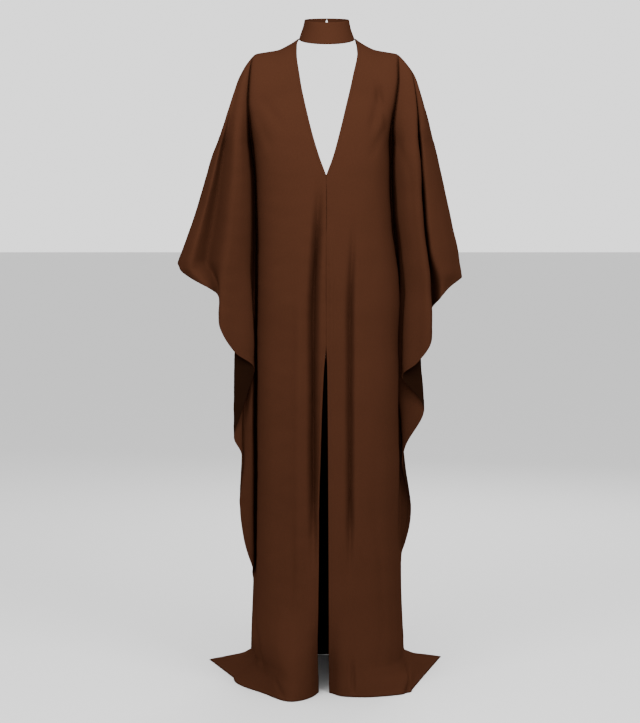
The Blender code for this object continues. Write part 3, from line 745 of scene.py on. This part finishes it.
def cloth_relief(panel):
    """How far the cloth stands proud of the plain surface, outwards."""
    a, d = panel.across, panel.down
    relief = np.zeros_like(a)
    for press in PRESSES:
        if press.panel != panel.name:
            continue
        spots = np.array([panel.flat_spot(h, p) for h, p in press.line])
        places = np.linspace(0, len(spots) - 1, LINE_STEPS * (len(spots) - 1) + 1)
        line = through(spots[None, :, :], places[None, :])[0]
        gap, along = near_line(a, d, line)
        q = gap / press.width
        shape = np.exp(-q * q) - RIM_SHARE * np.exp(-(q / RIM_WIDTHS) ** 2)
        relief -= press.depth * shape * np.clip(4 * along * (1 - along), 0, 1) ** END_FADE
    seed = sum(map(ord, panel.name))
    full = ramp(d, *SEAM_CALM)
    relief += BILLOW * full * wander(a, d, seed, BILLOW_SIZE)
    relief += RIPPLE * full * wander(a, d, seed + 1, RIPPLE_SIZE)
    sewn = panel.sewn_gap()
    pucker = wander(a * PUCKER_ALONG + 5, d, seed + 2, PUCKER_SIZE)
    relief += PUCKER * np.exp(-((sewn - PUCKER_IN) / PUCKER_IN) ** 2) * pucker
    line_gap = np.abs(a - a[:, panel.first_sleeve : panel.first_sleeve + 1])
    relief *= ramp(line_gap, *PARTING_CALM)
    neck = ramp(np.hypot(a - a[0, 0], d), *NECK_CALM)
    relief -= SEAM_ROLL * neck * np.exp(-((sewn / SEAM_ROLL_WIDTH) ** 2))
    return relief


def keep_apart(panel, points):
    """Moves a wall's points back to their own side of the seams and the floor."""
    side = panel.side
    sign = -1 if side == "left" else 1
    x = sign * np.maximum(sign * points[..., 0], 0)
    border = parting(np.abs(x), points[..., 2] + NECK_HEIGHT, side)
    y = points[..., 1]
    y = np.minimum(y, border) if panel.face == "front" else np.maximum(y, border)
    z = np.maximum(points[..., 2], FLOOR - NECK_HEIGHT)
    return np.stack([x, y, z], axis=-1)


def shell_faces(rows, columns, outward):
    """Corner numbers of a closed wall over a grid: outer face, inner face and rim."""
    number = np.arange(rows * columns).reshape(rows, columns)
    a, b = number[:-1, :-1].ravel(), number[:-1, 1:].ravel()
    c, d = number[1:, 1:].ravel(), number[1:, :-1].ravel()
    outer = np.stack([a, b, c, d], axis=1)
    if outward < 0:
        outer = outer[:, ::-1]
    inner = outer[:, ::-1] + rows * columns
    top, bottom = number[0], number[-1][::-1]
    right, left = number[:, -1], number[:, 0][::-1]
    loop = np.concatenate([top[:-1], right[:-1], bottom[:-1], left])
    if outward < 0:
        loop = loop[::-1]
    start, end = loop[:-1], loop[1:]
    rim = np.stack([end, start, start + rows * columns, end + rows * columns], axis=1)
    return np.concatenate([outer, inner, rim])


def make_mesh(name, points, faces, flat, painted_shade_faces):
    """A smooth mesh object with its flat cloth coordinates as the UV map."""
    data = bpy.data.meshes.new(name)
    data.from_pydata(points.tolist(), [], faces.tolist())
    layer = data.uv_layers.new(name="cut")
    corners = np.empty(len(data.loops), np.int64)
    data.loops.foreach_get("vertex_index", corners)
    layer.data.foreach_set("uv", flat[corners].ravel().astype(np.float32))
    # Faces in the mask take the second material, the crepe darkened as painted shade
    data.polygons.foreach_set("material_index", painted_shade_faces.astype(np.int32))
    mesh = bmesh.new()
    mesh.from_mesh(data)
    bmesh.ops.remove_doubles(mesh, verts=mesh.verts[:], dist=MERGE)
    bmesh.ops.dissolve_degenerate(mesh, edges=mesh.edges[:], dist=MERGE)
    mesh.to_mesh(data)
    mesh.free()
    data.shade_smooth()
    made = bpy.data.objects.new(name, data)
    bpy.context.scene.collection.objects.link(made)
    return made


def make_panel(name, cloth, thread):
    """A panel as a thin closed shell, thicker where its free edges are turned."""
    panel = Panel(name)
    points = panel.points
    normals = grid_normals(points, panel.outward)
    points = points + normals * cloth_relief(panel)[..., None]
    turned = 1 - ramp(panel.free_gap(), HEM_WIDTH - HEM_BLEND, HEM_WIDTH + HEM_BLEND)
    half = (CLOTH + (HEM_CLOTH - CLOTH) * turned)[..., None] / 2
    outer, inner = points + normals * half, points - normals * half
    foot = panel.reach <= 1 + 1e-6
    knot = panel.first_sleeve - 1
    for layer in (points, outer, inner):
        layer[foot, knot + 1 :] = layer[foot, knot : knot + 1]
    outer, inner = keep_apart(panel, outer), keep_apart(panel, inner)
    rows, columns = points.shape[:2]
    flat = np.stack([panel.across, panel.down], axis=-1).reshape(-1, 2)
    both = np.concatenate([outer.reshape(-1, 3), inner.reshape(-1, 3)])
    faces = shell_faces(rows, columns, panel.outward)
    side = (rows - 1) * (columns - 1)
    # The inner faces get painted shade: the same crepe, coloured darker
    painted_shade_faces = (np.arange(len(faces)) >= side) & (np.arange(len(faces)) < 2 * side)
    piece = make_mesh(name + "_cloth", both, faces, np.concatenate([flat, flat]), painted_shade_faces)
    for material in cloth:
        piece.data.materials.append(material)
    sew_edges(panel, outer, normals, thread)
    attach(piece, "root")
    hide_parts(name)


def level_line(field, level, points):
    """The line through a grid of points on which a field has one level, as points and pairs."""
    spots, pairs, known = [], [], {}
    above = field > level
    mixed = above[:-1, :-1].astype(int) + above[:-1, 1:] + above[1:, :-1] + above[1:, 1:]
    for i, j in zip(*np.nonzero((mixed > 0) & (mixed < 4))):
        corners = ((i, j), (i, j + 1), (i + 1, j + 1), (i + 1, j))
        crossed = []
        for start, end in zip(corners, corners[1:] + corners[:1]):
            if above[start] == above[end]:
                continue
            key = (min(start, end), max(start, end))
            if key not in known:
                part = (level - field[key[0]]) / (field[key[1]] - field[key[0]])
                known[key] = len(spots)
                spots.append(points[key[0]] * (1 - part) + points[key[1]] * part)
            crossed.append(known[key])
        pairs.extend(zip(crossed[::2], crossed[1::2]))
    return np.array(spots), pairs


def stitch_nodes():
    """A node tree that lays one row of machine stitches along each line of a mesh."""
    tree = bpy.data.node_groups.new("machine_stitches", "GeometryNodeTree")
    sockets = tree.interface
    sockets.new_socket("Line", in_out="INPUT", socket_type="NodeSocketGeometry")
    sockets.new_socket("Stitches", in_out="OUTPUT", socket_type="NodeSocketGeometry")
    for name in ("Pitch", "Length", "Radius"):
        sockets.new_socket(name, in_out="INPUT", socket_type="NodeSocketFloat")
    sockets.new_socket("Thread", in_out="INPUT", socket_type="NodeSocketMaterial")
    given = tree.nodes.new("NodeGroupInput")
    curve = add_node(tree, "GeometryNodeMeshToCurve", Mesh=given.outputs["Line"])
    even = add_node(
        tree, "GeometryNodeResampleCurve", {"mode": "LENGTH"},
        Curve=curve.outputs[0], Length=given.outputs["Pitch"],
    )
    way = tree.nodes.new("GeometryNodeInputTangent")
    turn = add_node(
        tree, "FunctionNodeAlignRotationToVector", {"axis": "Z"}, Vector=way.outputs[0]
    )
    bead = add_node(tree, "GeometryNodeMeshUVSphere", Segments=6, Rings=4, Radius=1.0)
    half = add_node(
        tree, "ShaderNodeMath", {"operation": "MULTIPLY"}, n0=given.outputs["Length"], n1=0.5
    )
    size = add_node(
        tree, "ShaderNodeCombineXYZ",
        X=given.outputs["Radius"], Y=given.outputs["Radius"], Z=half.outputs[0],
    )
    laid = add_node(
        tree, "GeometryNodeInstanceOnPoints",
        Points=even.outputs[0], Instance=bead.outputs[0], Rotation=turn.outputs[0],
        Scale=size.outputs[0],
    )
    solid = add_node(tree, "GeometryNodeRealizeInstances", Geometry=laid.outputs[0])
    dyed = add_node(
        tree, "GeometryNodeSetMaterial",
        Geometry=solid.outputs[0], Material=given.outputs["Thread"],
    )
    result = tree.nodes.new("NodeGroupOutput")
    tree.links.new(dyed.outputs[0], result.inputs[0])
    return tree


def sew_edges(panel, surface, normals, thread):
    """A row of stitches on the outer face, along every turned edge of a panel."""
    proud = surface + normals * THREAD * THREAD_PROUD
    spots, pairs = level_line(panel.free_gap(), STITCH_IN, proud)
    data = bpy.data.meshes.new(panel.name + "_stitch_line")
    data.from_pydata(spots.tolist(), pairs, [])
    made = bpy.data.objects.new(panel.name + "_stitches", data)
    bpy.context.scene.collection.objects.link(made)
    rows = made.modifiers.new("stitches", "NODES")
    rows.node_group = bpy.data.node_groups.get("machine_stitches") or stitch_nodes()
    values = {"Pitch": STITCH_PITCH, "Length": STITCH_LENGTH, "Radius": THREAD, "Thread": thread}
    for item in rows.node_group.interface.items_tree:
        if item.name in values:
            rows[item.identifier] = values[item.name]
    bpy.context.view_layer.update()
    graph = bpy.context.evaluated_depsgraph_get()
    made.data = bpy.data.meshes.new_from_object(made.evaluated_get(graph))
    made.modifiers.remove(rows)
    made.data.shade_smooth()
    bpy.data.meshes.remove(data)
    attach(made, "root")


def linear(code):
    """An sRGB hex colour as linear values."""
    parts = [int(code[k : k + 2], 16) / 255 for k in (0, 2, 4)]
    return [p / 12.92 if p <= 0.04045 else ((p + 0.055) / 1.055) ** 2.4 for p in parts] + [1.0]


def add_node(tree, kind, settings=None, **links):
    """Adds a node, sets its fields, and sets or links its inputs, by name or as n and number."""
    node = tree.nodes.new(kind)
    for key, value in (settings or {}).items():
        setattr(node, key, value)
    for key, value in links.items():
        numbered = key[0] == "n" and key[1:].isdigit()
        socket = node.inputs[int(key[1:]) if numbered else key.replace("_", " ")]
        if isinstance(value, bpy.types.NodeSocket):
            tree.links.new(value, socket)
        else:
            socket.default_value = value
    return node


def new_material(name, roughness, **fields):
    """A material with its node tree and shader, whose fields are set by their names."""
    made = bpy.data.materials.new(name)
    made.use_nodes = True
    shader = made.node_tree.nodes["Principled BSDF"]
    shader.inputs["Roughness"].default_value = roughness
    for key, value in fields.items():
        shader.inputs[key.replace("_", " ")].default_value = value
    return made, made.node_tree, shader


def add_grain(tree, vector, size, detail):
    """Adds uneven noise whose grains have a size in metres."""
    return add_node(tree, "ShaderNodeTexNoise", Vector=vector, Scale=1 / size, Detail=detail)


def colour_between(tree, shader, amount, dark, light):
    """Colours a shader between two sRGB shades, by an amount."""
    tone = add_node(
        tree, "ShaderNodeMix", {"data_type": "RGBA"}, n0=amount, n6=linear(dark), n7=linear(light)
    )
    tree.links.new(tone.outputs[2], shader.inputs["Base Color"])


def crepe_material(name, dark, light):
    """Polyester crepe: highly twisted yarn gives a dry, pebbled matte face with no shine."""
    made, tree, shader = new_material(name, CREPE_ROUGH, Specular_IOR_Level=0.0)
    cut = add_node(tree, "ShaderNodeUVMap", {"uv_map": "cut"})
    stretch = add_node(
        tree, "ShaderNodeMapping", Vector=cut.outputs[0], Scale=(1, YARN_STRETCH, 1)
    )
    yarn = add_grain(tree, stretch.outputs[0], YARN_GRAIN, 2.0)
    pebble = add_grain(tree, cut.outputs[0], PEBBLE_GRAIN, 1.0)
    shade = add_grain(tree, cut.outputs[0], SHADE_GRAIN, 3.0)
    grain = add_node(
        tree, "ShaderNodeMath", {"operation": "ADD"}, n0=yarn.outputs[0], n1=pebble.outputs[0]
    )
    fine = add_node(
        tree, "ShaderNodeMath", {"operation": "MULTIPLY"}, n0=grain.outputs[0], n1=GRAIN_SHARE
    )
    total = add_node(
        tree, "ShaderNodeMath", {"operation": "MULTIPLY_ADD"},
        n0=shade.outputs[0], n1=SHADE_SHARE, n2=fine.outputs[0],
    )
    colour_between(tree, shader, total.outputs[0], dark, light)
    bump = add_node(
        tree, "ShaderNodeBump",
        Height=grain.outputs[0], Strength=GRAIN_STRENGTH, Distance=GRAIN_RELIEF,
    )
    tree.links.new(bump.outputs[0], shader.inputs["Normal"])
    return made


def collar_surface():
    """The collar's middle surface from its lower edge up, and each point's gap to an edge."""
    rises = np.array(COLLAR_RISES)[:, None]
    even = np.linspace(0, 1, COLLAR_RUNS + 1)
    near = np.array(COLLAR_EDGE_STEPS) / COLLAR_SPAN
    shares = np.sort(np.concatenate([even, near, 1 - near]))[None, :]
    radius = COLLAR_LOW_RADIUS + (COLLAR_TOP_RADIUS - COLLAR_LOW_RADIUS) * rises
    closed = ramp(rises, *COLLAR_CLOSES)
    opening = COLLAR_OPENING + (COLLAR_CLOSED - COLLAR_OPENING) * closed
    margin = opening / 2 / radius
    turn = margin + (2 * np.pi - 2 * margin) * shares
    broad, tall = COLLAR_WAVE_SPAN
    soft = wander(turn * broad, rises * tall, COLLAR_WAVE_SEED, COLLAR_WAVE_SIZE)
    ring = radius + (COLLAR_WAVE * soft - COLLAR_BOW) * np.sin(np.pi * rises)
    x = ring * np.sin(turn)
    y = ring * np.cos(turn)
    slope = np.where(y < 0, COLLAR_FRONT_SLOPE, COLLAR_LOW_SLOPE)
    dip = np.where(y < 0, COLLAR_DIP_SLOPE, COLLAR_TOP_SLOPE)
    low = COLLAR_LOW_HEIGHT + slope * y
    top = COLLAR_TOP_HEIGHT + dip * y
    z = low + (top - low) * rises - NECK_HEIGHT
    points = np.stack([COLLAR_CENTRE + x, y, z], axis=-1)
    up = (top - low) * np.minimum(rises, 1 - rises)
    along = np.minimum(turn - margin, 2 * np.pi - margin - turn) * radius
    flat = np.stack([turn * COLLAR_LOW_RADIUS, (top - low) * rises], axis=-1)
    return points, np.minimum(up, along), flat


def make_collar(cloth):
    """The stand collar, two layers of crepe turned at the top and sewn on at its foot."""
    points, gap, flat = collar_surface()
    normals = grid_normals(points, -1)
    thin = COLLAR_EDGE + (1 - COLLAR_EDGE) * ramp(gap, 0, COLLAR_ROUND)
    half = (COLLAR_WALL / 2 * thin)[..., None]
    outer, inner = points + normals * half, points - normals * half
    rows, columns = points.shape[:2]
    both = np.concatenate([outer.reshape(-1, 3), inner.reshape(-1, 3)])
    faces = shell_faces(rows, columns, -1)
    flat = flat.reshape(-1, 2)
    painted_shade_faces = np.zeros(len(faces), bool)
    piece = make_mesh("collar_band", both, faces, np.concatenate([flat, flat]), painted_shade_faces)
    piece.data.materials.append(cloth)
    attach(piece, "root")
    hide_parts("collar")


def steel_material():
    """Blackened steel wire: a dark hard oxide skin, so its highlights are small and grey."""
    made, tree, shader = new_material("blackened_steel", STEEL_ROUGH[1], Metallic=1.0)
    spot = add_node(tree, "ShaderNodeTexCoord")
    worn = add_grain(tree, spot.outputs["Object"], WEAR_GRAIN, 2.0)
    colour_between(tree, shader, worn.outputs[0], STEEL_DARK, STEEL_LIGHT)
    rough = add_node(
        tree, "ShaderNodeMapRange",
        Value=worn.outputs[0], To_Min=STEEL_ROUGH[0], To_Max=STEEL_ROUGH[1],
    )
    tree.links.new(rough.outputs[0], shader.inputs["Roughness"])
    return made


def thread_material():
    """Spun polyester thread, dyed to match: a little smoother than the crepe, so it glints."""
    made, tree, shader = new_material(
        "brown_thread", THREAD_ROUGH, Specular_IOR_Level=THREAD_SHINE
    )
    spot = add_node(tree, "ShaderNodeTexCoord")
    twist = add_grain(tree, spot.outputs["Object"], TWIST_GRAIN, 1.0)
    colour_between(tree, shader, twist.outputs[0], THREAD_DARK, THREAD_LIGHT)
    return made


def make_stage():
    """A plain pale floor, far wider than the picture."""
    data = bpy.data.meshes.new("floor")
    z = -NECK_HEIGHT - FLOOR_BELOW
    r = FLOOR_HALF
    data.from_pydata([(-r, -r, z), (r, -r, z), (r, r, z), (-r, r, z)], [], [(0, 1, 2, 3)])
    floor = bpy.data.objects.new("floor", data)
    bpy.context.scene.collection.objects.link(floor)
    made, _, _ = new_material("pale_floor", FLOOR_ROUGH, Base_Color=linear(FLOOR_COLOUR))
    data.materials.append(made)


def light_studio():
    """Large soft boxes at the front and one behind, in an even white room."""
    for name, place, target, size, power in BOXES:
        data = bpy.data.lights.new(name, "AREA")
        data.size = size
        data.energy = power
        lamp = bpy.data.objects.new(name, data)
        lamp.location = place
        way = Vector(target) - Vector(place)
        lamp.rotation_euler = way.to_track_quat("-Z", "Y").to_euler()
        bpy.context.scene.collection.objects.link(lamp)
    world = bpy.data.worlds.new("studio")
    world.use_nodes = True
    air = world.node_tree.nodes["Background"]
    air.inputs["Color"].default_value = (1, 1, 1, 1)
    air.inputs["Strength"].default_value = ROOM
    bpy.context.scene.world = world


def set_camera():
    """The camera from which the photograph was taken."""
    data = bpy.data.cameras.new("camera")
    data.sensor_width = SENSOR
    data.lens = FOCAL_PIXELS * SENSOR / PICTURE_HEIGHT
    data.shift_y = SHIFT
    camera = bpy.data.objects.new("camera", data)
    camera.location = EYE
    camera.rotation_euler = (np.pi / 2 - EYE_DOWN, 0, 0)
    bpy.context.scene.collection.objects.link(camera)
    bpy.context.scene.camera = camera


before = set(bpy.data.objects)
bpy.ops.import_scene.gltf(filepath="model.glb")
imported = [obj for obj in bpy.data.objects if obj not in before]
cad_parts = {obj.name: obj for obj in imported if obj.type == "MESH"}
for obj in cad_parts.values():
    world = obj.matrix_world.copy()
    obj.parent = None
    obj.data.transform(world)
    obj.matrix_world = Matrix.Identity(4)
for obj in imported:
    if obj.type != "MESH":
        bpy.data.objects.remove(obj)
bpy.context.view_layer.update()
set_camera()
make_stage()
light_studio()

outside = crepe_material("brown_crepe", CREPE_DARK, CREPE_LIGHT)
# The same crepe painted darker for the inner faces: painted shade
shaded_reverse = crepe_material("brown_crepe_reverse", PAINTED_SHADE_DARK, PAINTED_SHADE_LIGHT)
thread = thread_material()
for name in SECTIONS:
    make_panel(name, (outside, shaded_reverse), thread)
make_collar(outside)
steel = steel_material()
for name in ("collar_hook", "collar_eye"):
    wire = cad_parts[name]
    wire.data.materials.clear()
    wire.data.materials.append(steel)
